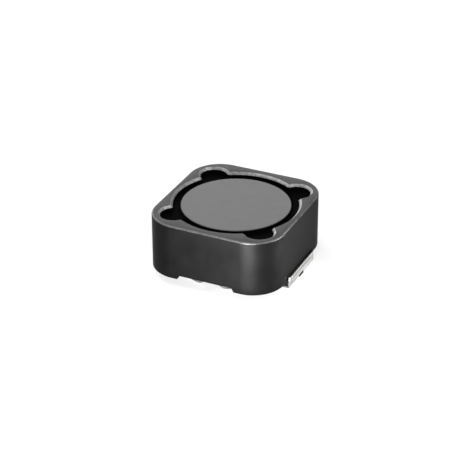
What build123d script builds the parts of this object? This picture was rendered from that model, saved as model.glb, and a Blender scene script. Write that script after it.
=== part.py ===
from build123d import *

import os
from math import acos, asin, atan2, cos, degrees, floor, hypot, radians, sin, sqrt

# Shielded surface-mount power inductor: a wound ferrite drum inside a square ferrite ring,
# on a moulded base that carries two tinned terminals. Millimetres, +Z up.
# The origin is the middle of the footprint on the board plane, and the terminals are at the X ends.

# Wire and winding
wire_diameter = 0.5
wire_sides = 6
post_clearance = 0.05
turn_margin = 0.05
layers = 4
flange_overhang = 0.38
lead_bend_radius = 0.5
bend_steps = 3
run_steps = 4
lead_rise = 0.08
lead_sag = 0.1
lead_clearance = 0.095
left_lead_angle = -104.0
right_lead_angle = -75.0
left_lead_turn = 0
right_lead_turn = 2

# Drum core
flange_thickness = 0.95
post_radius = 2.3
drum_edge = 0.1
drum_recess = 0.2

# Shield ring
end_wall = 0.58
side_wall = 0.86
shield_height = 5.0
shield_standoff = 0.7
corner_radius = 2.86
lobe_radius = 1.2
lobe_wall = 0.71
cusp_land = 0.05
rim_chamfer = 0.13
foot_chamfer = 0.1
bore_chamfer = 0.2
notch_height = 0.36
side_notch_width = 4.86
side_notch_flare = 0.25
terminal_notch_clearance = 0.12
terminal_notch_flare = 0.5

# Epoxy in the ring gap
epoxy_depth = 0.45

# Terminals
terminal_width = 5.15
terminal_thickness = 0.15
terminal_proud = 0.2
terminal_top_clearance = 0.04
pad_length = 2.5
bend_radius = 0.1
foot_notch_width = 0.8
foot_notch_height = 0.28
foot_notch_depth = 0.5
anchor_width = 2.4
anchor_length = 0.7
anchor_drop = 0.25
wing_width = 1.1
wing_length = 1.0

# Solder joints
lead_tip_inset = 0.4
solder_length = 0.95
solder_side = 0.14
solder_cover = 0.06
solder_taper = 16.0
solder_chamfer = 0.12
solder_setback = 0.2

# Base
base_floor = 0.5
base_setback = 0.05
seat_overhang = 0.85
seat_blend = 0.6
drum_clearance = 0.06
base_edge = 0.16

# Levels above the board
pad_top = terminal_thickness
drum_bottom = pad_top + base_floor
notch_top = shield_standoff + notch_height
rim_top = shield_standoff + shield_height
drum_top = rim_top - drum_recess
window_bottom = drum_bottom + flange_thickness
window_top = drum_top - flange_thickness
epoxy_top = rim_top - epoxy_depth
lead_level = pad_top + wire_diameter / 2

# Plan sizes that follow from the post, the wire and the walls
inner_turn_radius = post_radius + post_clearance
coil_radius = inner_turn_radius + layers * wire_diameter
flange_radius = coil_radius + flange_overhang
bore_radius = flange_radius + wire_diameter + 2 * lead_clearance
shield_half_x = bore_radius + end_wall
shield_half_y = bore_radius + side_wall
corner_out = (shield_half_x + shield_half_y - 2 * corner_radius) / sqrt(2)
corner_aside = (shield_half_y - shield_half_x) / sqrt(2)
corner_reach = corner_out + sqrt(corner_radius**2 - corner_aside**2)
lobe_offset = corner_reach - lobe_wall - lobe_radius
terminal_face = shield_half_x + terminal_proud
base_reach = terminal_face - terminal_thickness
base_width = terminal_width - 2 * base_setback
seat_radius = base_width / 2 + seat_overhang
route_radius = (flange_radius + bore_radius) / 2
lead_tip_y = terminal_width / 2 + lead_tip_inset
lead_tip_x = sqrt(route_radius**2 - lead_tip_y**2)

# Turns in a layer, as many as fit the drum's window
turns = floor((window_top - window_bottom - 2 * turn_margin) / wire_diameter)
coil_bottom = (window_bottom + window_top - turns * wire_diameter) / 2

cut_margin = 1.0
same_place = 1e-4


def polar(radius, angle, z=0.0):
    return Vector(radius * cos(radians(angle)), radius * sin(radians(angle)), z)


def bore_plan():
    # Round bore with a lobe towards each corner, the cusps between them rounded.
    lobes = [place * Circle(lobe_radius) for place in PolarLocations(lobe_offset, 4, 45)]
    plan = Circle(bore_radius) + lobes
    centres = [polar(lobe_offset, angle) for angle in (45, 135, 225, 315)]
    cusps = [
        corner
        for corner in plan.vertices()
        if any(abs((Vector(corner) - centre).length - lobe_radius) < same_place for centre in centres)
    ]
    return fillet(cusps, bore_chamfer + cusp_land)


def notch_cutter(width, flare, reach, angle):
    # Trapezium across the foot of one wall, wider at the foot than at its top.
    half = width / 2
    foot = shield_standoff - cut_margin
    outline = Polyline(
        (-half - flare, foot),
        (-half - flare, shield_standoff),
        (-half, notch_top),
        (half, notch_top),
        (half + flare, shield_standoff),
        (half + flare, foot),
        close=True,
    )
    prism = extrude(Plane.XZ * make_face(outline), reach + cut_margin)
    return Rot(0, 0, angle) * prism


def make_shield_ring():
    block = RectangleRounded(2 * shield_half_x, 2 * shield_half_y, corner_radius)
    ring = extrude(Plane.XY.offset(shield_standoff) * (block - bore_plan()), shield_height)
    rim = ring.faces().sort_by(Axis.Z)[-1]
    ring = chamfer(rim.inner_wires()[0].edges(), bore_chamfer)
    ring = chamfer(ring.faces().sort_by(Axis.Z)[-1].outer_wire().edges(), rim_chamfer)
    ring = chamfer(ring.faces().sort_by(Axis.Z)[0].outer_wire().edges(), foot_chamfer)
    terminal_notch_width = terminal_width + 2 * terminal_notch_clearance
    for angle in (0, 180):
        ring -= notch_cutter(side_notch_width, side_notch_flare, shield_half_y, angle)
        ring -= notch_cutter(terminal_notch_width, terminal_notch_flare, shield_half_x, angle + 90)
    return ring


def make_drum_core():
    profile = Polyline(
        (0, drum_bottom),
        (flange_radius, drum_bottom),
        (flange_radius, window_bottom),
        (post_radius, window_bottom),
        (post_radius, window_top),
        (flange_radius, window_top),
        (flange_radius, drum_top),
        (0, drum_top),
        close=True,
    )
    drum = revolve(Plane.XZ * make_face(profile), Axis.Z)
    circles = drum.edges().filter_by(GeomType.CIRCLE)
    rims = [edge for edge in circles if abs(edge.radius - flange_radius) < same_place]
    return chamfer(rims, drum_edge)


def lead_path(turn_way, drop_angle, turn, tip_angle):
    # Off the coil on a tangent, down past the lower flange, then round to the terminal's wing.
    # The run is lowest where it lands and is up at the wing's level one step before its tip.
    level = coil_bottom + (turn + 0.5) * wire_diameter + lead_rise
    bend = lead_bend_radius
    up = Vector(0, 0, 1)
    landing = polar(route_radius, drop_angle, lead_level - lead_sag)
    along = Vector(-sin(radians(drop_angle)), cos(radians(drop_angle)), 0) * turn_way
    drop = landing - along * bend
    drop_reach = hypot(drop.X, drop.Y)
    leave_radius = coil_radius - wire_diameter
    leave_angle = degrees(atan2(drop.Y, drop.X)) - turn_way * degrees(acos(leave_radius / drop_reach))
    leave = polar(leave_radius, leave_angle, level)
    over = Vector(drop.X - leave.X, drop.Y - leave.Y, 0).normalized()
    top = Vector(drop.X, drop.Y, level)
    upper_centre = top - (over + up) * bend
    lower_centre = landing + up * bend
    quarter = [radians(90 * step / bend_steps) for step in range(bend_steps + 1)]
    upper_bend = [upper_centre + (up * cos(t) + over * sin(t)) * bend for t in quarter]
    lower_bend = [lower_centre - (along * cos(t) + up * sin(t)) * bend for t in quarter]
    swing = (tip_angle - drop_angle) / run_steps
    run = []
    for step in range(1, run_steps + 1):
        sag = lead_sag * max(0, 1 - step / (run_steps - 1))
        run.append(polar(route_radius, drop_angle + swing * step, lead_level - sag))
    return Polyline(leave, *upper_bend, *lower_bend, *run)


def make_coil_winding(left_tip_angle, right_tip_angle):
    # The turns as one ribbed ring, fused with the two leads: it is a single wire.
    wire_radius = wire_diameter / 2
    outer_centre = coil_radius - wire_radius
    coil_top = coil_bottom + turns * wire_diameter
    outline = [(inner_turn_radius, coil_top), (inner_turn_radius, coil_bottom)]
    for turn in range(turns):
        middle = coil_bottom + (turn + 0.5) * wire_diameter
        for step in range(wire_sides // 2):
            angle = radians(360 * step / wire_sides - 90)
            outline.append((outer_centre + wire_radius * cos(angle), middle + wire_radius * sin(angle)))
    outline.append((outer_centre, coil_top))
    coil = revolve(Plane.XZ * make_face(Polyline(*outline, close=True)), Axis.Z)
    leads = (
        lead_path(-1, left_lead_angle, left_lead_turn, left_tip_angle),
        lead_path(1, right_lead_angle, right_lead_turn, right_tip_angle),
    )
    for path in leads:
        section = Plane(origin=path @ 0, z_dir=path % 0) * Circle(wire_radius)
        coil += sweep(section, path, transition=Transition.RIGHT)
    return coil


def make_terminal():
    # Strip bent to an L: pad on the board, upright on the wall, wings for the lead at both ends.
    upright_top = notch_top - terminal_top_clearance
    pad_end = terminal_face - pad_length
    outline = Polyline(
        (pad_end, 0),
        (terminal_face, 0),
        (terminal_face, upright_top),
        (base_reach, upright_top),
        (base_reach, pad_top),
        (pad_end, pad_top),
        close=True,
    )
    section = make_face(outline)
    outer_corner = section.vertices().group_by(Axis.X)[-1].sort_by(Axis.Y)[0]
    section = fillet(outer_corner, bend_radius + terminal_thickness)
    inner_corner = [
        corner
        for corner in section.vertices()
        if abs(corner.X - base_reach) < same_place and abs(corner.Y - pad_top) < same_place
    ]
    section = fillet(inner_corner, bend_radius)
    strip = extrude(Plane.XZ * section, terminal_width / 2, both=True)
    strip -= Pos(terminal_face, 0, 0) * Box(
        2 * foot_notch_depth, foot_notch_width, 2 * foot_notch_height
    )
    wings = Rectangle(wing_width, terminal_width + 2 * wing_length)
    strip += extrude(Pos(lead_tip_x, 0) * wings, terminal_thickness)
    anchor_top = upright_top - anchor_drop
    anchor = Pos(base_reach, 0, anchor_top) * Box(
        anchor_length,
        anchor_width,
        terminal_thickness,
        align=(Align.MAX, Align.CENTER, Align.MAX),
    )
    return strip + anchor


def make_base(terminals):
    # Plate under the drum, with raised ends that pass through the ring's notches and carry it.
    strip = Rectangle(2 * base_reach, base_width)
    plan = strip + Circle(seat_radius)
    corners = [corner for corner in plan.vertices() if abs(corner.X) < seat_radius]
    plan = fillet(corners, seat_blend)
    raised = strip - Circle(flange_radius + drum_clearance)
    base = extrude(Plane.XY.offset(pad_top) * plan, base_floor)
    base += extrude(Plane.XY.offset(drum_bottom) * raised, notch_top - drum_bottom)
    foot_edges = [
        edge
        for edge in base.edges().filter_by(Axis.Y)
        if abs(edge.center().Z - pad_top) < same_place and abs(abs(edge.center().X) - base_reach) < same_place
    ]
    base = fillet(foot_edges, base_edge)
    for terminal in terminals:
        base -= terminal
    return base


def make_gap_epoxy():
    ring = bore_plan() - Circle(flange_radius)
    return extrude(Plane.XY.offset(window_top) * ring, epoxy_top - window_top)


def make_solder(turn_way, tip_angle, coil):
    # Tapered mound over the end of a lead, standing on the terminal's wing.
    centre_angle = tip_angle - turn_way * degrees(solder_setback / route_radius)
    place = Pos(*polar(route_radius, centre_angle, pad_top)) * Rot(0, 0, centre_angle + 90)
    footprint = SlotOverall(solder_length, wire_diameter + 2 * solder_side)
    mound = extrude(place * footprint, wire_diameter + solder_cover, taper=solder_taper)
    mound = chamfer(mound.faces().sort_by(Axis.Z)[-1].edges(), solder_chamfer)
    return mound - coil


right_tip = -degrees(asin(lead_tip_y / route_radius))
left_tip = -180 - right_tip
coil_winding = make_coil_winding(left_tip, right_tip)
terminal_right = make_terminal()
terminal_left = Rot(0, 0, 180) * terminal_right

nodes = {
    "shield_ring": make_shield_ring(),
    "gap_epoxy": make_gap_epoxy(),
    "drum_core": make_drum_core(),
    "coil_winding": coil_winding,
    "base": make_base((terminal_left, terminal_right)),
    "terminal_left": terminal_left,
    "terminal_right": terminal_right,
    "solder_left": make_solder(-1, left_tip, coil_winding),
    "solder_right": make_solder(1, right_tip, coil_winding),
}

os.makedirs("parts", exist_ok=True)
for name, solid in nodes.items():
    export_step(solid, f"parts/{name}.step")
    print(name, round(solid.volume, 3))
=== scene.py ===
import math

import bmesh
import bpy
from mathutils import Matrix, Vector


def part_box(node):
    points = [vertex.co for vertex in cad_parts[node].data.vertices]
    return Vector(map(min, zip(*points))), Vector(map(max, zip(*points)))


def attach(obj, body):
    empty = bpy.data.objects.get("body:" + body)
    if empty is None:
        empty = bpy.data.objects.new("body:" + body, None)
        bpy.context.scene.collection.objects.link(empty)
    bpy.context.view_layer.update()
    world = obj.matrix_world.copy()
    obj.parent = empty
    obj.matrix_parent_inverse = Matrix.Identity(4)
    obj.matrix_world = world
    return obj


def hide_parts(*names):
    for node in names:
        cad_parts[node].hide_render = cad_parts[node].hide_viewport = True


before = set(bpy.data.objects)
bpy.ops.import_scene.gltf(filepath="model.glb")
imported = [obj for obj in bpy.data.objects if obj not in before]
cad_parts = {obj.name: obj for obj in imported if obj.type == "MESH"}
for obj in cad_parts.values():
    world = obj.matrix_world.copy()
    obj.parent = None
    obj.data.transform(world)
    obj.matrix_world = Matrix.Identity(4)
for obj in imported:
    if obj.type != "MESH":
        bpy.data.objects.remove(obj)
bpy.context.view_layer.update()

# Shielded surface-mount inductor. Pieces are drawn in millimetres and brought to metres when they are done.
mm = 0.001
tiny = 1e-3
mergeGap = tiny / 10
origin = Vector((0, 0, 0))
upAxis = Vector((0, 0, 1))


def nodeBox(node):
    low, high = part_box(node)
    return low / mm, high / mm


def vertsOf(geom):
    return [item for item in geom if isinstance(item, bmesh.types.BMVert)]


def facesOf(geom):
    return [item for item in geom if isinstance(item, bmesh.types.BMFace)]


def wholeMesh(bm):
    return bm.verts[:] + bm.edges[:] + bm.faces[:]


def sharpEdges(bm, turn):
    # edges whose two faces turn by more than this, in radians
    return [edge for edge in bm.edges if edge.calc_face_angle(0) > turn]


def polar(radius, degrees, z=0.0):
    turn = math.radians(degrees)
    return Vector((radius * math.cos(turn), radius * math.sin(turn), z))


def cleanUp(bm):
    bmesh.ops.remove_doubles(bm, verts=bm.verts[:], dist=mergeGap)
    bmesh.ops.recalc_face_normals(bm, faces=bm.faces[:])


def roundEdges(bm, edges, width, segments):
    # returns the faces of the rounded strip
    made = bmesh.ops.bevel(
        bm,
        geom=edges,
        offset=width,
        offset_type="OFFSET",
        affect="EDGES",
        segments=segments,
        profile=0.5,
        material=-1,
        clamp_overlap=True,
    )
    return made["faces"]


def markWearAndPaintedLight(bm, faces, amount=1.0):
    # only verts inside the marked strip get the amount, so it fades out to both sides. The mark is edge wear,
    # with a painted highlight on the shield's chamfer and rim, and painted shade on the terminals' feet
    layer = bm.verts.layers.float.get("wearAndPaintedLight") or bm.verts.layers.float.new("wearAndPaintedLight")
    strip = set(faces)
    for vert in {vert for face in strip for vert in face.verts}:
        if all(face in strip for face in vert.link_faces):
            vert[layer] = amount


def finishPiece(bm, name, material, nodes, sharpAngle=32.0, evenNormals=True):
    bmesh.ops.scale(bm, vec=Vector((mm, mm, mm)), verts=bm.verts[:])
    mesh = bpy.data.meshes.new(name)
    bm.to_mesh(mesh)
    bm.free()
    mesh.shade_smooth()
    mesh.set_sharp_from_angle(angle=math.radians(sharpAngle))
    mesh.materials.append(material)
    piece = bpy.data.objects.new(name, mesh)
    bpy.context.collection.objects.link(piece)
    if evenNormals:
        even = piece.modifiers.new("evenNormals", "WEIGHTED_NORMAL")
        even.keep_sharp = True
    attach(piece, "root")
    if nodes:
        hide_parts(*nodes)
    print("piece", name, len(mesh.vertices), "verts")


# Materials. Every pattern reads Object coordinates, in metres.
mixSockets = {"first": 6, "second": 7, "result": 2}  # where a Mix node keeps its colours


class Shading:
    def __init__(self, name):
        self.material = bpy.data.materials.new(name)
        self.material.use_nodes = True
        self.nodes = self.material.node_tree.nodes
        self.links = self.material.node_tree.links
        self.shader = self.nodes["Principled BSDF"]
        self.place = self.nodes.new("ShaderNodeTexCoord").outputs["Object"]

    def noise(self, size, detail, stretch=(1, 1, 1)):
        # size is the pattern's grain in metres
        grain = self.nodes.new("ShaderNodeTexNoise")
        grain.inputs["Scale"].default_value = 1.0 / size
        grain.inputs["Detail"].default_value = detail
        turn = self.nodes.new("ShaderNodeMapping")
        turn.inputs["Scale"].default_value = stretch
        self.links.new(self.place, turn.inputs["Vector"])
        self.links.new(turn.outputs["Vector"], grain.inputs["Vector"])
        return grain.outputs["Fac"]

    def ramp(self, value, low, high, start=0.3, end=0.7):
        # maps a pattern, from start to end, to a range of plain numbers
        span = self.nodes.new("ShaderNodeMapRange")
        span.inputs["From Min"].default_value = start
        span.inputs["From Max"].default_value = end
        span.inputs["To Min"].default_value = low
        span.inputs["To Max"].default_value = high
        self.links.new(value, span.inputs["Value"])
        return span.outputs["Result"]

    def mix(self, factor, first, second):
        blend = self.nodes.new("ShaderNodeMix")
        blend.data_type = "RGBA"
        self.links.new(factor, blend.inputs["Factor"])
        for side, colour in (("first", first), ("second", second)):
            socket = blend.inputs[mixSockets[side]]
            if isinstance(colour, tuple):
                socket.default_value = (*colour, 1.0)
            else:
                self.links.new(colour, socket)
        return blend.outputs[mixSockets["result"]]

    def reckon(self, operation, first, second):
        step = self.nodes.new("ShaderNodeMath")
        step.operation = operation
        for socket, value in zip(step.inputs, (first, second)):
            if isinstance(value, float):
                socket.default_value = value
            else:
                self.links.new(value, socket)
        return step.outputs["Value"]

    def attribute(self, name):
        layer = self.nodes.new("ShaderNodeAttribute")
        layer.attribute_name = name
        return layer.outputs["Fac"]

    def roughness(self, broad, span, fine, wobble):
        # a broad change over the span, with a fine one on top
        return self.reckon("ADD", self.ramp(broad, *span), self.ramp(fine, -wobble, wobble))

    def bump(self, height, depth, strength, under=None):
        # depth in metres
        relief = self.nodes.new("ShaderNodeBump")
        relief.inputs["Strength"].default_value = strength
        relief.inputs["Distance"].default_value = depth
        self.links.new(height, relief.inputs["Height"])
        if under is not None:
            self.links.new(under, relief.inputs["Normal"])
        return relief.outputs["Normal"]

    def feed(self, **sockets):
        for name, value in sockets.items():
            socket = self.shader.inputs[name.replace("_", " ")]
            if isinstance(value, (int, float)):
                socket.default_value = value
            elif isinstance(value, tuple):
                socket.default_value = (*value, 1.0)
            else:
                self.links.new(value, socket)
        return self.material


ferriteGrain = {
    "patchSize": 0.0016,
    "grainSize": 0.00009,
    "grainRough": 0.04,
    "grainDepth": 3.0e-6,
    "grainStrength": 0.5,
    "pitSize": 0.00025,
    "pitDepth": 7.5e-6,
    "pitStrength": 0.35,
    "speckle": 0.35,
    "speckleFrom": (0.45, 0.75),
    "leastMarked": 0.45,
}
shieldLook = {
    "dark": (0.0112, 0.0112, 0.0114),
    "light": (0.0144, 0.0144, 0.0146),
    # lighter and more reflective than the body: edge wear with a painted highlight
    "wornAndGlint": (0.26, 0.26, 0.26),
    "rough": (0.45, 0.50),
    "slantTint": (0.62, 0.62, 0.62),
}
drumLook = {
    "dark": (0.144, 0.144, 0.146),
    "light": (0.168, 0.168, 0.170),
    "wornAndGlint": (0.17, 0.17, 0.17),
    "rough": (0.55, 0.65),
    "shine": 0.02,
}


def ferrite(name, look):
    shade = Shading(name)
    patches = shade.noise(ferriteGrain["patchSize"], detail=4.0)
    grain = shade.noise(ferriteGrain["grainSize"], detail=2.0)
    pits = shade.noise(ferriteGrain["pitSize"], detail=3.0)
    body = shade.mix(shade.ramp(patches, 0.0, 1.0), look["dark"], look["light"])
    speckles = shade.ramp(grain, 0.0, ferriteGrain["speckle"], *ferriteGrain["speckleFrom"])
    speckled = shade.mix(speckles, body, look["light"])
    uneven = shade.ramp(pits, ferriteGrain["leastMarked"], 1.0)
    # the marked strips take the edge colour: wear on the drum, wear with a painted highlight on the shield's
    # chamfer and rim
    rubbedAndGlint = shade.reckon("MULTIPLY", shade.attribute("wearAndPaintedLight"), uneven)
    colour = shade.mix(rubbedAndGlint, speckled, look["wornAndGlint"])
    rough = shade.roughness(patches, look["rough"], grain, ferriteGrain["grainRough"])
    fine = shade.bump(grain, ferriteGrain["grainDepth"], ferriteGrain["grainStrength"])
    normal = shade.bump(pits, ferriteGrain["pitDepth"], ferriteGrain["pitStrength"], under=fine)
    shade.feed(Base_Color=colour, Roughness=rough, Normal=normal)
    return shade


epoxyLook = {
    "dark": (0.0006, 0.0006, 0.0006),
    "light": (0.0016, 0.0016, 0.0016),
    "rough": (0.5, 0.66),
    "shine": 0.001,
    "waveSize": 0.0007,
    "waveDepth": 2.0e-5,
    "waveStrength": 0.25,
    "dustPerWave": 9,
    "dustRough": 0.05,
}


def blackEpoxy():
    shade = Shading("blackEpoxy")
    waves = shade.noise(epoxyLook["waveSize"], detail=3.0)
    dust = shade.noise(epoxyLook["waveSize"] / epoxyLook["dustPerWave"], detail=2.0)
    colour = shade.mix(shade.ramp(waves, 0.0, 1.0), epoxyLook["dark"], epoxyLook["light"])
    rough = shade.roughness(waves, epoxyLook["rough"], dust, epoxyLook["dustRough"])
    normal = shade.bump(waves, epoxyLook["waveDepth"], epoxyLook["waveStrength"])
    shade.feed(Specular_IOR_Level=epoxyLook["shine"])
    return shade.feed(Base_Color=colour, Roughness=rough, Normal=normal)


resinLook = {
    "dark": (0.005, 0.005, 0.005),
    "light": (0.009, 0.009, 0.009),
    "rough": (0.45, 0.6),
    "shine": 0.03,
    "flowSize": 0.0009,
    "flowStretch": (1, 0.35, 1),
    "grainSize": 0.00011,
    "grainRough": 0.05,
    "grainDepth": 5.0e-6,
    "grainStrength": 0.6,
}


def mouldedResin():
    shade = Shading("mouldedResin")
    flow = shade.noise(resinLook["flowSize"], detail=4.0, stretch=resinLook["flowStretch"])
    grain = shade.noise(resinLook["grainSize"], detail=2.0)
    colour = shade.mix(shade.ramp(flow, 0.0, 1.0), resinLook["dark"], resinLook["light"])
    rough = shade.roughness(flow, resinLook["rough"], grain, resinLook["grainRough"])
    normal = shade.bump(grain, resinLook["grainDepth"], resinLook["grainStrength"])
    shade.feed(Specular_IOR_Level=resinLook["shine"])
    return shade.feed(Base_Color=colour, Roughness=rough, Normal=normal)


tinLook = {
    "bright": (0.66, 0.66, 0.65),
    "dull": (0.26, 0.26, 0.255),
    # painted shade for the strip's foot and bend
    "shadedFoot": (0.16, 0.16, 0.16),
    "stripRough": (0.16, 0.3),
    "solderRough": (0.22, 0.4),
    "cloudSize": 0.0008,
    "cloudDull": 0.35,
    "lineSize": 0.00016,
    "lineStretch": (1.0, 0.04, 1.0),
    "lineDull": 0.9,
    "lineFrom": (0.42, 0.62),
    "lineRough": 0.05,
    "lineDepth": 2.5e-6,
    "lineStrength": 0.5,
}


def tinPlate(name, span, stretch=(1, 1, 1)):
    # span is the roughness from bright to dull clouds
    shade = Shading(name)
    clouds = shade.noise(tinLook["cloudSize"], detail=4.0)
    lines = shade.noise(tinLook["lineSize"], detail=2.0, stretch=stretch)
    body = shade.mix(shade.ramp(clouds, 0.0, tinLook["cloudDull"]), tinLook["bright"], tinLook["dull"])
    streaks = shade.ramp(lines, 0.0, tinLook["lineDull"], *tinLook["lineFrom"])
    streaked = shade.mix(streaks, body, tinLook["dull"])
    # the marked foot and bend of the strip are darker: painted shade where it meets the floor
    colour = shade.mix(shade.attribute("wearAndPaintedLight"), streaked, tinLook["shadedFoot"])
    rough = shade.roughness(clouds, span, lines, tinLook["lineRough"])
    normal = shade.bump(lines, tinLook["lineDepth"], tinLook["lineStrength"])
    return shade.feed(Base_Color=colour, Roughness=rough, Normal=normal, Metallic=1.0)


wireLook = {
    "enamelDark": (0.20, 0.055, 0.018),
    "enamelLight": (0.42, 0.14, 0.05),
    "tinned": (0.34, 0.34, 0.33),
    "tinnedDull": (0.13, 0.13, 0.13),
    "tinnedBelow": 0.0009,
    "tinnedFade": 0.0003,
    "tinnedWave": 0.00015,
    "rough": (0.24, 0.4),
    "coat": 0.3,
    "rippleSize": 0.00035,
    "rippleDepth": 1.2e-5,
    "rippleStrength": 0.4,
}


def windingWire():
    # copper under clear enamel, tinned along the stretch that was dipped
    shade = Shading("windingWire")
    ripple = shade.noise(wireLook["rippleSize"], detail=3.0)
    apart = shade.nodes.new("ShaderNodeSeparateXYZ")
    shade.links.new(shade.place, apart.inputs["Vector"])
    wave = shade.ramp(ripple, -wireLook["tinnedWave"], wireLook["tinnedWave"])
    level = shade.reckon("ADD", apart.outputs["Z"], wave)
    below = wireLook["tinnedBelow"]
    dipped = shade.ramp(level, 1.0, 0.0, start=below, end=below + wireLook["tinnedFade"])
    enamel = shade.mix(shade.ramp(ripple, 0.0, 1.0), wireLook["enamelDark"], wireLook["enamelLight"])
    tinned = shade.mix(shade.ramp(ripple, 0.0, 1.0), wireLook["tinned"], wireLook["tinnedDull"])
    colour = shade.mix(dipped, enamel, tinned)
    rough = shade.ramp(ripple, *wireLook["rough"])
    normal = shade.bump(ripple, wireLook["rippleDepth"], wireLook["rippleStrength"])
    shade.feed(Metallic=1.0, Coat_Weight=wireLook["coat"])
    return shade.feed(Base_Color=colour, Roughness=rough, Normal=normal)


shieldFerrite = ferrite("shieldFerrite", shieldLook).feed(Metallic=1.0, Specular_Tint=shieldLook["slantTint"])
drumFerrite = ferrite("drumFerrite", drumLook).feed(Specular_IOR_Level=drumLook["shine"])
epoxyBlack = blackEpoxy()
resinBlack = mouldedResin()
tinStrip = tinPlate("tinStrip", tinLook["stripRough"], tinLook["lineStretch"])
solderTin = tinPlate("solderTin", tinLook["solderRough"])
wireCopper = windingWire()
print("materials done")


# Outlines in plan, a quarter at a time. All have the same number of points, so they bridge in plain quads.
shieldLow, shieldHigh = nodeBox("shield_ring")
epoxyLow, epoxyHigh = nodeBox("gap_epoxy")
drumLow, drumHigh = nodeBox("drum_core")

outline = {
    "halfX": shieldHigh.x,
    "halfY": shieldHigh.y,
    "cornerRadius": 2.86,
    "bore": epoxyHigh.x,
    "lobeRadius": 1.2,
    "lobeWall": 0.71,
    "cuspRadius": 0.25,
    "boreSteps": 12,
    "cuspSteps": 6,
    "lobeSteps": 30,
}
cornerX = outline["halfX"] - outline["cornerRadius"]
cornerY = outline["halfY"] - outline["cornerRadius"]
cornerOut = (cornerX + cornerY) / math.sqrt(2)
cornerAside = (cornerY - cornerX) / math.sqrt(2)
cornerReach = cornerOut + math.sqrt(outline["cornerRadius"] ** 2 - cornerAside**2)
lobeOffset = cornerReach - outline["lobeWall"] - outline["lobeRadius"]
lobeCentre = polar(lobeOffset, 45)
cuspReach = outline["bore"] + outline["cuspRadius"]
lobeReach = outline["lobeRadius"] + outline["cuspRadius"]
cuspSpread = math.acos((cuspReach**2 + lobeOffset**2 - lobeReach**2) / (2 * cuspReach * lobeOffset))
cuspAngle = 45 - math.degrees(cuspSpread)
firstCusp = polar(cuspReach, cuspAngle)
lastCusp = polar(cuspReach, 90 - cuspAngle)
towardLobe = lobeCentre - firstCusp
lobeStart = math.degrees(math.atan2(-towardLobe.y, -towardLobe.x))
cuspTurn = math.degrees(math.atan2(towardLobe.y, towardLobe.x)) - (cuspAngle + 180)
lobeTurn = 2 * (45 - lobeStart)
cornerSteps = 2 * outline["cuspSteps"] + outline["lobeSteps"]
quarterSteps = 2 * outline["boreSteps"] + cornerSteps


def arcOn(bm, vert, centre, degrees, steps):
    made = bmesh.ops.spin(
        bm,
        geom=[vert],
        cent=centre,
        axis=upAxis,
        angle=math.radians(degrees),
        steps=steps,
        use_duplicate=False,
    )
    return vertsOf(made["geom_last"])[0]


def lineOn(bm, vert, step, steps):
    for part in range(steps):
        made = bmesh.ops.extrude_vert_indiv(bm, verts=[vert])
        vert = made["verts"][0]
        bmesh.ops.translate(bm, verts=[vert], vec=step / steps)
    return vert


def boreQuarter(bm, z, grow=0.0):
    # round bore, rounded cusp, corner lobe, cusp and bore again
    lift = upAxis * z
    vert = bm.verts.new(polar(outline["bore"] + grow, 0, z))
    vert = arcOn(bm, vert, lift, cuspAngle, outline["boreSteps"])
    vert = arcOn(bm, vert, firstCusp + lift, cuspTurn, outline["cuspSteps"])
    vert = arcOn(bm, vert, lobeCentre + lift, lobeTurn, outline["lobeSteps"])
    vert = arcOn(bm, vert, lastCusp + lift, cuspTurn, outline["cuspSteps"])
    arcOn(bm, vert, lift, cuspAngle, outline["boreSteps"])


def wallQuarter(bm, z):
    # straight wall, round corner, straight wall
    vert = bm.verts.new((outline["halfX"], 0, z))
    vert = lineOn(bm, vert, Vector((0, cornerY, 0)), outline["boreSteps"])
    vert = arcOn(bm, vert, Vector((cornerX, cornerY, z)), 90, cornerSteps)
    lineOn(bm, vert, Vector((-cornerX, 0, 0)), outline["boreSteps"])


def roundQuarter(bm, radius, z):
    vert = bm.verts.new((radius, 0, z))
    arcOn(bm, vert, upAxis * z, 90, quarterSteps)


def drawn(bm, draw, *sizes):
    # draws one outline and returns its edges
    before = set(bm.edges)
    draw(bm, *sizes)
    return [edge for edge in bm.edges if edge not in before]


def joinRings(bm, rings):
    # each ring is a list of edges, and each is joined to the next one
    for first, second in zip(rings, rings[1:]):
        bmesh.ops.bridge_loops(bm, edges=first + second)


def fourQuarters(bm):
    for axis in ("X", "Y"):
        bmesh.ops.mirror(bm, geom=wholeMesh(bm), matrix=Matrix.Identity(4), merge_dist=mergeGap, axis=axis)
    cleanUp(bm)


# Shield ring
shield = {
    "notchHeight": 0.36,
    "sideNotch": 2.43,
    "sideFlare": 0.25,
    "terminalNotch": 2.695,
    "terminalFlare": 0.50,
    "boreChamfer": 0.20,
    "chamferEase": 0.02,
    "rimRound": 0.13,
    "footRound": 0.07,
    "plainWall": 0.25,
    "sharpTurn": 0.5,
    # the chamfer and the rim are marked for the lighter edge colour: wear with a painted highlight
    "wornAndGlintSlope": (0.2, 0.98),
    "rimWearAndGlint": 0.38,
}


def onWall(vert):
    x, y = abs(vert.co.x), abs(vert.co.y)
    if x > outline["halfX"] - tiny or y > outline["halfY"] - tiny:
        return True
    inCorner = x > cornerX - tiny and y > cornerY - tiny
    return inCorner and math.hypot(x - cornerX, y - cornerY) > outline["cornerRadius"] - tiny


def isRim(edge, top):
    return all(onWall(vert) and vert.co.z > top - tiny for vert in edge.verts)


def isChamfer(edge, top):
    levels = [top - vert.co.z for vert in edge.verts]
    inBore = not any(onWall(vert) for vert in edge.verts)
    return inBore and abs(levels[0] - levels[1]) < tiny and max(levels) < shield["boreChamfer"] + tiny


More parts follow.
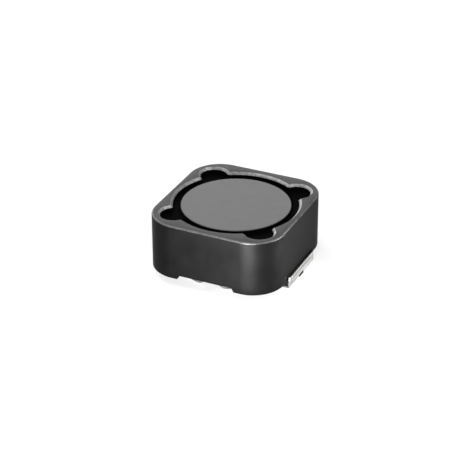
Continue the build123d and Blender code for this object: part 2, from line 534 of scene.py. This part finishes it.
def cutNotches(bm, foot, notchTop, reach):
    # the foot is cut where each flare starts and ends, and its verts between the flares are lifted
    sideEnds = (shield["sideNotch"], shield["sideNotch"] + shield["sideFlare"])
    terminalEnds = (shield["terminalNotch"], shield["terminalNotch"] + shield["terminalFlare"])
    for across, ends in ((Vector((1, 0, 0)), sideEnds), (Vector((0, 1, 0)), terminalEnds)):
        for end in (*ends, *[-end for end in ends]):
            low = [face for face in bm.faces if all(vert.co.z < reach + tiny for vert in face.verts)]
            geom = list({item for face in low for item in (face, *face.edges, *face.verts)})
            bmesh.ops.bisect_plane(bm, geom=geom, plane_co=across * end, plane_no=across, dist=tiny)
    for vert in bm.verts:
        inSide = abs(vert.co.x) < shield["sideNotch"] + tiny and abs(vert.co.y) > cornerY
        inTerminal = abs(vert.co.y) < shield["terminalNotch"] + tiny and abs(vert.co.x) > cornerX
        if vert.co.z < foot + tiny and (inSide or inTerminal):
            vert.co.z = notchTop


def makeShieldRing():
    bm = bmesh.new()
    foot, top = shieldLow.z, shieldHigh.z
    grow, plain = shield["boreChamfer"], shield["plainWall"]
    notchTop = foot + shield["notchHeight"]
    rings = [
        drawn(bm, wallQuarter, foot),
        drawn(bm, wallQuarter, notchTop + plain),
        drawn(bm, wallQuarter, top - plain),
        drawn(bm, wallQuarter, top),
        drawn(bm, boreQuarter, top, grow),
        drawn(bm, boreQuarter, top - grow),
        drawn(bm, boreQuarter, notchTop + plain),
        drawn(bm, boreQuarter, foot),
    ]
    joinRings(bm, rings + rings[:1])
    fourQuarters(bm)
    cutNotches(bm, foot, notchTop, notchTop + plain)
    cleanUp(bm)
    sharp = sharpEdges(bm, shield["sharpTurn"])
    rim = [edge for edge in sharp if isRim(edge, top)]
    chamferEdges = [edge for edge in sharp if isChamfer(edge, top)]
    below = [edge for edge in sharp if all(onWall(vert) and vert.co.z < top - tiny for vert in edge.verts)]
    roundEdges(bm, below, shield["footRound"], segments=3)
    rounded = roundEdges(bm, [edge for edge in rim if edge.is_valid], shield["rimRound"], segments=5)
    roundEdges(bm, [edge for edge in chamferEdges if edge.is_valid], shield["chamferEase"], segments=2)
    least, most = shield["wornAndGlintSlope"]
    # the bore's chamfer gets the lighter, reflective edge colour: a ground edge with a painted highlight
    upper = [face for face in bm.faces if face.calc_center_median().z > top - grow]
    markWearAndPaintedLight(bm, [face for face in upper if least < face.normal.z < most])
    # the rim's round gets it at part strength: edge wear with a painted glint
    markWearAndPaintedLight(bm, [face for face in rounded if face.is_valid], shield["rimWearAndGlint"])
    finishPiece(bm, "shieldRing", shieldFerrite, ["shield_ring"])


makeShieldRing()


# Drum core
drum = {"flange": 0.95, "postRadius": 2.3, "edgeRound": 0.06, "sharpTurn": 1.2, "turnSteps": 128}


def makeDrumCore():
    bm = bmesh.new()
    radius = drumHigh.x
    stations = (
        (0, drumLow.z),
        (radius, drumLow.z),
        (radius, drumLow.z + drum["flange"]),
        (drum["postRadius"], drumLow.z + drum["flange"]),
        (drum["postRadius"], drumHigh.z - drum["flange"]),
        (radius, drumHigh.z - drum["flange"]),
        (radius, drumHigh.z),
        (0, drumHigh.z),
    )
    section = [bm.verts.new((x, 0, z)) for x, z in stations]
    for first, second in zip(section, section[1:]):
        bm.edges.new((first, second))
    bmesh.ops.spin(
        bm,
        geom=wholeMesh(bm),
        cent=origin,
        axis=upAxis,
        angle=math.tau,
        steps=drum["turnSteps"],
        use_merge=True,
    )
    cleanUp(bm)
    sharp = sharpEdges(bm, drum["sharpTurn"])
    rims = [edge for edge in sharp if edge.verts[0].co.xy.length > radius - tiny]
    markWearAndPaintedLight(bm, roundEdges(bm, rims, drum["edgeRound"], segments=3))
    finishPiece(bm, "drumCore", drumFerrite, ["drum_core"])


makeDrumCore()


# Epoxy in the gap, a little lower in the middle than at its walls, and drawn up the drum's side
epoxy = {"sag": 0.06, "rings": 5, "climb": 0.17, "smoothing": 3}


def makeGapEpoxy():
    bm = bmesh.new()
    rings = [drawn(bm, roundQuarter, drumHigh.x, epoxyHigh.z), drawn(bm, boreQuarter, epoxyHigh.z)]
    joinRings(bm, rings)
    fourQuarters(bm)
    spokes = [edge for edge in bm.edges if not edge.is_boundary]
    bmesh.ops.subdivide_edges(bm, edges=spokes, cuts=epoxy["rings"], use_grid_fill=True)
    inside = [vert for vert in bm.verts if not vert.is_boundary]
    bmesh.ops.translate(bm, verts=inside, vec=upAxis * -epoxy["sag"])
    for again in range(epoxy["smoothing"]):
        bmesh.ops.smooth_vert(bm, verts=inside, factor=0.5, use_axis_z=True)
    atDrum = [vert for vert in bm.verts if vert.co.xy.length < drumHigh.x + tiny]
    bmesh.ops.translate(bm, verts=atDrum, vec=upAxis * epoxy["climb"])
    bmesh.ops.recalc_face_normals(bm, faces=bm.faces[:])
    grown = bmesh.ops.extrude_face_region(bm, geom=bm.faces[:], use_keep_orig=True)
    for vert in vertsOf(grown["geom"]):
        vert.co.z = epoxyLow.z
    cleanUp(bm)
    finishPiece(bm, "gapEpoxy", epoxyBlack, ["gap_epoxy"])


makeGapEpoxy()


# Terminals: a strip bent up the wall, with a notch in its foot and a wing at each end of the pad
rightLow, rightHigh = nodeBox("terminal_right")
strip = {
    "halfWidth": 2.575,
    "thickness": 0.15,
    "bendRadius": 0.25,
    "bendSteps": 8,
    "footNotchHalf": 0.4,
    "footNotchHeight": 0.28,
    "footNotchDepth": 0.5,
    "wingWidth": 1.1,
    "anchorHalf": 1.2,
    "anchorLength": 0.7,
    "anchorDrop": 0.25,
    "edgeRound": 0.02,
    "sharpTurn": 1.2,
    "shadedBelow": 0.2,
}


def drawBend(bm, face, top, padEnd):
    # pad, bend and upright along one side of the strip, then pulled across its width
    bend = strip["bendRadius"]
    vert = bm.verts.new((padEnd, -strip["halfWidth"], 0))
    vert = lineOn(bm, vert, Vector((face - bend - padEnd, 0, 0)), 1)
    made = bmesh.ops.spin(
        bm,
        geom=[vert],
        cent=(face - bend, 0, bend),
        axis=(0, -1, 0),
        angle=math.radians(90),
        steps=strip["bendSteps"],
    )
    lineOn(bm, vertsOf(made["geom_last"])[0], Vector((0, 0, top - bend)), 1)
    grown = bmesh.ops.extrude_edge_only(bm, edges=bm.edges[:])
    bmesh.ops.translate(bm, verts=vertsOf(grown["geom"]), vec=(0, 2 * strip["halfWidth"], 0))


def cutFootNotch(bm, face, wingRoot):
    half, height, depth = strip["footNotchHalf"], strip["footNotchHeight"], strip["footNotchDepth"]
    cuts = [
        ((0, half, 0), (0, 1, 0)),
        ((0, -half, 0), (0, 1, 0)),
        ((face - depth, 0, 0), (1, 0, 0)),
        ((0, 0, height), (0, 0, 1)),
        ((wingRoot, 0, 0), (1, 0, 0)),
    ]
    for place, across in cuts:
        bmesh.ops.bisect_plane(bm, geom=wholeMesh(bm), plane_co=place, plane_no=across, dist=tiny)
    notch = []
    for cell in bm.faces:
        middle = cell.calc_center_median()
        if middle.x > face - depth and middle.z < height and abs(middle.y) < half:
            notch.append(cell)
    bmesh.ops.delete(bm, geom=notch, context="FACES")


def growWings(bm, wingRoot):
    reach = rightHigh.y - strip["halfWidth"]
    for side in (1, -1):
        root = [
            edge
            for edge in bm.edges
            if all(abs(vert.co.y - side * strip["halfWidth"]) < tiny for vert in edge.verts)
            and all(vert.co.x < wingRoot + tiny for vert in edge.verts)
        ]
        grown = bmesh.ops.extrude_edge_only(bm, edges=root)
        bmesh.ops.translate(bm, verts=vertsOf(grown["geom"]), vec=(0, side * reach, 0))


def addAnchor(bm, face, top):
    # a tongue that holds the strip in the base
    anchor = bmesh.ops.create_cube(bm, size=1.0)["verts"]
    size = Vector((strip["anchorLength"], 2 * strip["anchorHalf"], strip["thickness"]))
    corner = Vector((face - strip["thickness"], 0, top - strip["anchorDrop"]))
    bmesh.ops.scale(bm, vec=size, verts=anchor)
    bmesh.ops.translate(bm, verts=anchor, vec=corner - Vector((size.x, 0, size.z)) / 2)


def makeTerminal(name, node, turn):
    bm = bmesh.new()
    face, top, padEnd = rightHigh.x, rightHigh.z, rightLow.x
    wingRoot = padEnd + strip["wingWidth"]
    drawBend(bm, face, top, padEnd)
    cutFootNotch(bm, face, wingRoot)
    growWings(bm, wingRoot)
    cleanUp(bm)
    # the pad's faces look down before the strip gets its thickness
    if sum(cell.normal.z for cell in bm.faces if cell.calc_center_median().z < tiny) > 0:
        bmesh.ops.reverse_faces(bm, faces=bm.faces[:])
    bmesh.ops.solidify(bm, geom=bm.faces[:], thickness=strip["thickness"])
    bmesh.ops.recalc_face_normals(bm, faces=bm.faces[:])
    roundEdges(bm, sharpEdges(bm, strip["sharpTurn"]), strip["edgeRound"], segments=2)
    # the foot and bend below this level are marked for the darker colour: painted shade
    markWearAndPaintedLight(bm, [cell for cell in bm.faces if cell.calc_center_median().z < strip["shadedBelow"]])
    addAnchor(bm, face, top)
    swing = Matrix.Rotation(math.radians(turn), 3, "Z")
    bmesh.ops.rotate(bm, cent=origin, matrix=swing, verts=bm.verts[:])
    finishPiece(bm, name, tinStrip, [node])


makeTerminal("terminalRight", "terminal_right", 0)
makeTerminal("terminalLeft", "terminal_left", 180)


# Winding: layers of close turns and two leads that drop past the flange and run to the wings
coil = {
    "wire": 0.5,
    "wireSides": 16,
    "layers": 4,
    "turns": 5,
    "postClearance": 0.05,
    "turnSteps": 56,
    "leadBend": 0.5,
    "leadRise": 0.08,
    "leadSag": 0.1,
    "sagShare": 0.75,
    "leadClearance": 0.095,
    "bendSteps": 8,
    "runSteps": 24,
    "tipInset": 0.4,
    "leads": ({"way": -1, "drop": -104.0, "turn": 0}, {"way": 1, "drop": -75.0, "turn": 2}),
    "sharpAngle": 60,
}
wireRadius = coil["wire"] / 2
coilInner = drum["postRadius"] + coil["postClearance"]
coilOuter = coilInner + coil["layers"] * coil["wire"]
windowMiddle = (drumLow.z + drumHigh.z) / 2
coilLow = windowMiddle - coil["turns"] * coil["wire"] / 2
routeRadius = drumHigh.x + coil["leadClearance"] + wireRadius
leadLevel = strip["thickness"] + wireRadius
tipSwing = math.degrees(math.asin((strip["halfWidth"] + coil["tipInset"]) / routeRadius))


def wireSection(bm, place, along):
    ring = bmesh.ops.create_circle(bm, cap_ends=True, radius=wireRadius, segments=coil["wireSides"])["verts"]
    turn = along.to_track_quat("Z", "X").to_matrix()
    bmesh.ops.rotate(bm, cent=origin, matrix=turn, verts=ring)
    bmesh.ops.translate(bm, verts=ring, vec=place)
    return ring[0].link_faces[0]


def pushWire(bm, face, step):
    grown = bmesh.ops.extrude_face_region(bm, geom=[face])["geom"]
    made = facesOf(grown)[0]
    bmesh.ops.translate(bm, verts=made.verts[:], vec=step)
    return made


def bendWire(bm, face, centre, axis, degrees, steps, rise=origin):
    spun = bmesh.ops.spin(
        bm,
        geom=[face] + face.edges[:] + face.verts[:],
        cent=centre,
        axis=axis,
        dvec=rise / steps,
        angle=math.radians(degrees),
        steps=steps,
    )
    return facesOf(spun["geom_last"])[0]


def windLayer(bm, layer):
    radius = coilInner + (layer + 0.5) * coil["wire"]
    start = wireSection(bm, Vector((radius, 0, coilLow + wireRadius)), Vector((0, 1, 0)))
    rounds = coil["turns"] - 1
    climb = upAxis * rounds * coil["wire"]
    bendWire(bm, start, origin, upAxis, rounds * 360, rounds * coil["turnSteps"], climb)


def runLead(bm, way, drop, turn):
    bend = coil["leadBend"]
    level = coilLow + (turn + 0.5) * coil["wire"] + coil["leadRise"]
    landing = polar(routeRadius, drop, leadLevel - coil["leadSag"])
    along = polar(1, drop + 90) * way
    foot = landing - along * bend
    # straight off the winding, from between its two outer layers
    leaveRadius = coilOuter - coil["wire"]
    aside = math.degrees(math.acos(leaveRadius / foot.xy.length))
    leave = polar(leaveRadius, math.degrees(math.atan2(foot.y, foot.x)) - way * aside, level)
    over = Vector((foot.x - leave.x, foot.y - leave.y, 0))
    straight = over.length - bend
    over.normalize()
    face = wireSection(bm, leave, over)
    face = pushWire(bm, face, over * straight)
    upperCentre = leave + over * straight - upAxis * bend
    face = bendWire(bm, face, upperCentre, over.cross(-upAxis), 90, coil["bendSteps"])
    face = pushWire(bm, face, upAxis * (landing.z + 2 * bend - level))
    face = bendWire(bm, face, landing + upAxis * bend, (-upAxis).cross(along), 90, coil["bendSteps"])
    # the run climbs back to the wing's level, then lies flat on it
    tip = -tipSwing if way > 0 else tipSwing - 180
    climbing = (tip - drop) * coil["sagShare"]
    steps = round(coil["runSteps"] * coil["sagShare"])
    face = bendWire(bm, face, origin, upAxis, climbing, steps, upAxis * coil["leadSag"])
    bendWire(bm, face, origin, upAxis, tip - drop - climbing, coil["runSteps"] - steps)


def makeCoilWinding():
    bm = bmesh.new()
    for layer in range(coil["layers"]):
        windLayer(bm, layer)
    for lead in coil["leads"]:
        runLead(bm, **lead)
    # a bend after a straight stretch leaves the old end inside the wire
    inner = [face for face in bm.faces if all(len(edge.link_faces) > 2 for edge in face.edges)]
    bmesh.ops.delete(bm, geom=inner, context="FACES_ONLY")
    bmesh.ops.recalc_face_normals(bm, faces=bm.faces[:])
    sharpAngle = coil["sharpAngle"]
    finishPiece(bm, "coilWinding", wireCopper, ["coil_winding"], sharpAngle, evenNormals=False)


makeCoilWinding()


# Solder: a rounded mound over the end of each lead
mound = {"halfLength": 0.475, "halfWidth": 0.39, "rings": 14, "around": 28, "sharpAngle": 50}


def makeSolder(name, node):
    low, high = nodeBox(node)
    middle = (low + high) / 2
    swing = Matrix.Rotation(math.atan2(middle.y, middle.x) + math.pi / 2, 3, "Z")
    size = Vector((mound["halfLength"], mound["halfWidth"], high.z - low.z))
    bm = bmesh.new()
    bmesh.ops.create_uvsphere(bm, u_segments=mound["around"], v_segments=mound["rings"], radius=1.0)
    bmesh.ops.bisect_plane(
        bm,
        geom=wholeMesh(bm),
        plane_co=origin,
        plane_no=upAxis,
        clear_inner=True,
        dist=tiny,
    )
    bmesh.ops.edgeloop_fill(bm, edges=[edge for edge in bm.edges if edge.is_boundary])
    bmesh.ops.scale(bm, vec=size, verts=bm.verts[:])
    bmesh.ops.rotate(bm, cent=origin, matrix=swing, verts=bm.verts[:])
    bmesh.ops.translate(bm, verts=bm.verts[:], vec=(middle.x, middle.y, low.z))
    cleanUp(bm)
    finishPiece(bm, name, solderTin, [node], mound["sharpAngle"])


makeSolder("solderRight", "solder_right")
makeSolder("solderLeft", "solder_left")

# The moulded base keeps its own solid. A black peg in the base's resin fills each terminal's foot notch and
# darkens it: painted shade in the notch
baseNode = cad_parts["base"]
baseNode.data.materials.clear()
baseNode.data.materials.append(resinBlack)
shadePeg = {"clearance": 0.005, "round": 0.02}


def makeNotchShadePegs():
    bm = bmesh.new()
    gap = Vector((1, 1, 1)) * shadePeg["clearance"]
    low = Vector((rightHigh.x - strip["footNotchDepth"], -strip["footNotchHalf"], 0)) + gap
    high = Vector((rightHigh.x, strip["footNotchHalf"], strip["footNotchHeight"])) - gap
    bmesh.ops.create_cube(bm, size=1.0)
    bmesh.ops.scale(bm, vec=high - low, verts=bm.verts[:])
    bmesh.ops.translate(bm, vec=(high + low) / 2, verts=bm.verts[:])
    roundEdges(bm, bm.edges[:], shadePeg["round"], segments=3)
    bmesh.ops.spin(
        bm,
        geom=wholeMesh(bm),
        cent=origin,
        axis=upAxis,
        angle=math.pi,
        steps=1,
        use_duplicate=True,
    )
    cleanUp(bm)
    finishPiece(bm, "notchShadePegs", resinBlack, [])


makeNotchShadePegs()
print("pieces done")

# Floor, world and lights
stage = {
    "floorHalf": 1.5,
    "floorPaint": (0.36, 0.36, 0.36),
    "floorRough": 0.9,
    "floorGlow": 0.66,
    "worldLight": 0.35,
    "white": (1.0, 1.0, 1.0),
}
lamps = {
    "key": {"azimuth": -95, "elevation": 62, "distance": 0.5, "size": (0.30, 0.30), "radiance": 5.0},
    "rearLeft": {
        "azimuth": -146, "elevation": 30, "distance": 0.15, "size": (0.12, 0.09), "radiance": 10.0,
        "glintOnly": True,
    },
    "rightHigh": {"azimuth": 91, "elevation": 51, "distance": 0.5, "size": (0.25, 0.25), "radiance": 5.0},
    "leftLow": {"azimuth": -127, "elevation": 8, "distance": 0.5, "size": (0.20, 0.12), "radiance": 5.0},
    "frontStrip": {
        "azimuth": 14, "elevation": 5, "distance": 0.032, "size": (0.012, 0.006), "radiance": 235.0,
        "aim": (4, -6, 2.5), "spread": 80,
    },
    "rightStrip": {
        "azimuth": 105.7, "elevation": 4, "distance": 0.039, "size": (0.008, 0.008), "radiance": 300.0,
        "aim": (5.9, -4.2, 3), "spread": 24,
    },
}


def plainSight(nodes, links):
    # 1 for rays from the camera and for reflected or passing ones, 0 for the rest
    paths = nodes.new("ShaderNodeLightPath")
    seen = paths.outputs["Is Camera Ray"]
    for name in ("Is Glossy Ray", "Is Transmission Ray"):
        either = nodes.new("ShaderNodeMath")
        either.operation = "MAXIMUM"
        links.new(seen, either.inputs[0])
        links.new(paths.outputs[name], either.inputs[1])
        seen = either.outputs["Value"]
    return seen


def makeFloor():
    bm = bmesh.new()
    bmesh.ops.create_grid(bm, x_segments=1, y_segments=1, size=stage["floorHalf"])
    mesh = bpy.data.meshes.new("floor")
    bm.to_mesh(mesh)
    bm.free()
    shade = Shading("floorPaint")
    glow = shade.reckon("MULTIPLY", plainSight(shade.nodes, shade.links), stage["floorGlow"])
    # clear from beneath, so the pads can be looked at
    side = shade.nodes.new("ShaderNodeNewGeometry")
    solid = shade.reckon("SUBTRACT", 1.0, side.outputs["Backfacing"])
    shade.feed(Base_Color=stage["floorPaint"], Roughness=stage["floorRough"], Specular_IOR_Level=0.0)
    shade.feed(Emission_Color=stage["white"], Emission_Strength=glow, Alpha=solid)
    mesh.materials.append(shade.material)
    floor = bpy.data.objects.new("floor", mesh)
    bpy.context.collection.objects.link(floor)


def makeWorld():
    world = bpy.data.worlds.new("studio")
    world.use_nodes = True
    nodes, links = world.node_tree.nodes, world.node_tree.links
    level = nodes.new("ShaderNodeMapRange")
    level.inputs["To Min"].default_value = stage["worldLight"]
    level.inputs["To Max"].default_value = 1.0
    links.new(plainSight(nodes, links), level.inputs["Value"])
    links.new(level.outputs["Result"], nodes["Background"].inputs["Strength"])
    nodes["Background"].inputs["Color"].default_value = (*stage["white"], 1.0)
    bpy.context.scene.world = world


def wayTo(azimuth, elevation):
    # in degrees, the azimuth from the front wall's middle towards the right wall
    turn, lift = math.radians(azimuth), math.radians(elevation)
    return Vector((math.sin(turn) * math.cos(lift), -math.cos(turn) * math.cos(lift), math.sin(lift)))


def softBox(name, azimuth, elevation, distance, size, radiance, aim=(0, 0, 0), spread=180, glintOnly=False):
    # distance and size in metres, the aim in millimetres; radiance 1 is white
    width, height = size
    lamp = bpy.data.lights.new(name, "AREA")
    lamp.shape = "RECTANGLE"
    lamp.size, lamp.size_y = width, height
    # a narrower beam gathers the same power, so the power comes down with it
    half = math.radians(spread) / 2
    lamp.spread = 2 * half
    lamp.energy = radiance * math.pi * width * height * (1 - half / math.tan(half))
    box = bpy.data.objects.new(name, lamp)
    box.location = wayTo(azimuth, elevation) * distance
    box.visible_diffuse = not glintOnly
    box.rotation_euler = (box.location - Vector(aim) * mm).to_track_quat("Z", "Y").to_euler()
    bpy.context.collection.objects.link(box)


makeFloor()
makeWorld()
for name, settings in lamps.items():
    softBox(name, **settings)
print("stage done")

# Camera, at the photograph's angle
view = {
    "azimuth": 25.023,
    "elevation": 28.942,
    "roll": -0.161,
    "distance": 0.150,
    "lens": 136.19,
    "sensor": 36.0,
    "nearest": 0.005,
    "aim": Vector((0, 0, 0.003)),
    "aside": -0.00052,
    "above": -0.000058,
}


def makeCamera():
    turn, roll = math.radians(view["azimuth"]), math.radians(view["roll"])
    back = wayTo(view["azimuth"], view["elevation"])
    level = Vector((math.cos(turn), math.sin(turn), 0))
    upright = back.cross(level)
    right = level * math.cos(roll) + upright * math.sin(roll)
    up = upright * math.cos(roll) - level * math.sin(roll)
    lens = bpy.data.cameras.new("camera")
    lens.lens = view["lens"]
    lens.sensor_width = view["sensor"]
    lens.clip_start = view["nearest"]
    camera = bpy.data.objects.new("camera", lens)
    place = view["aim"] + back * view["distance"] + right * view["aside"] + up * view["above"]
    camera.matrix_world = Matrix.Translation(place) @ Matrix((right, up, back)).transposed().to_4x4()
    bpy.context.collection.objects.link(camera)
    bpy.context.scene.camera = camera


makeCamera()
bpy.context.scene.view_settings.view_transform = "Standard"
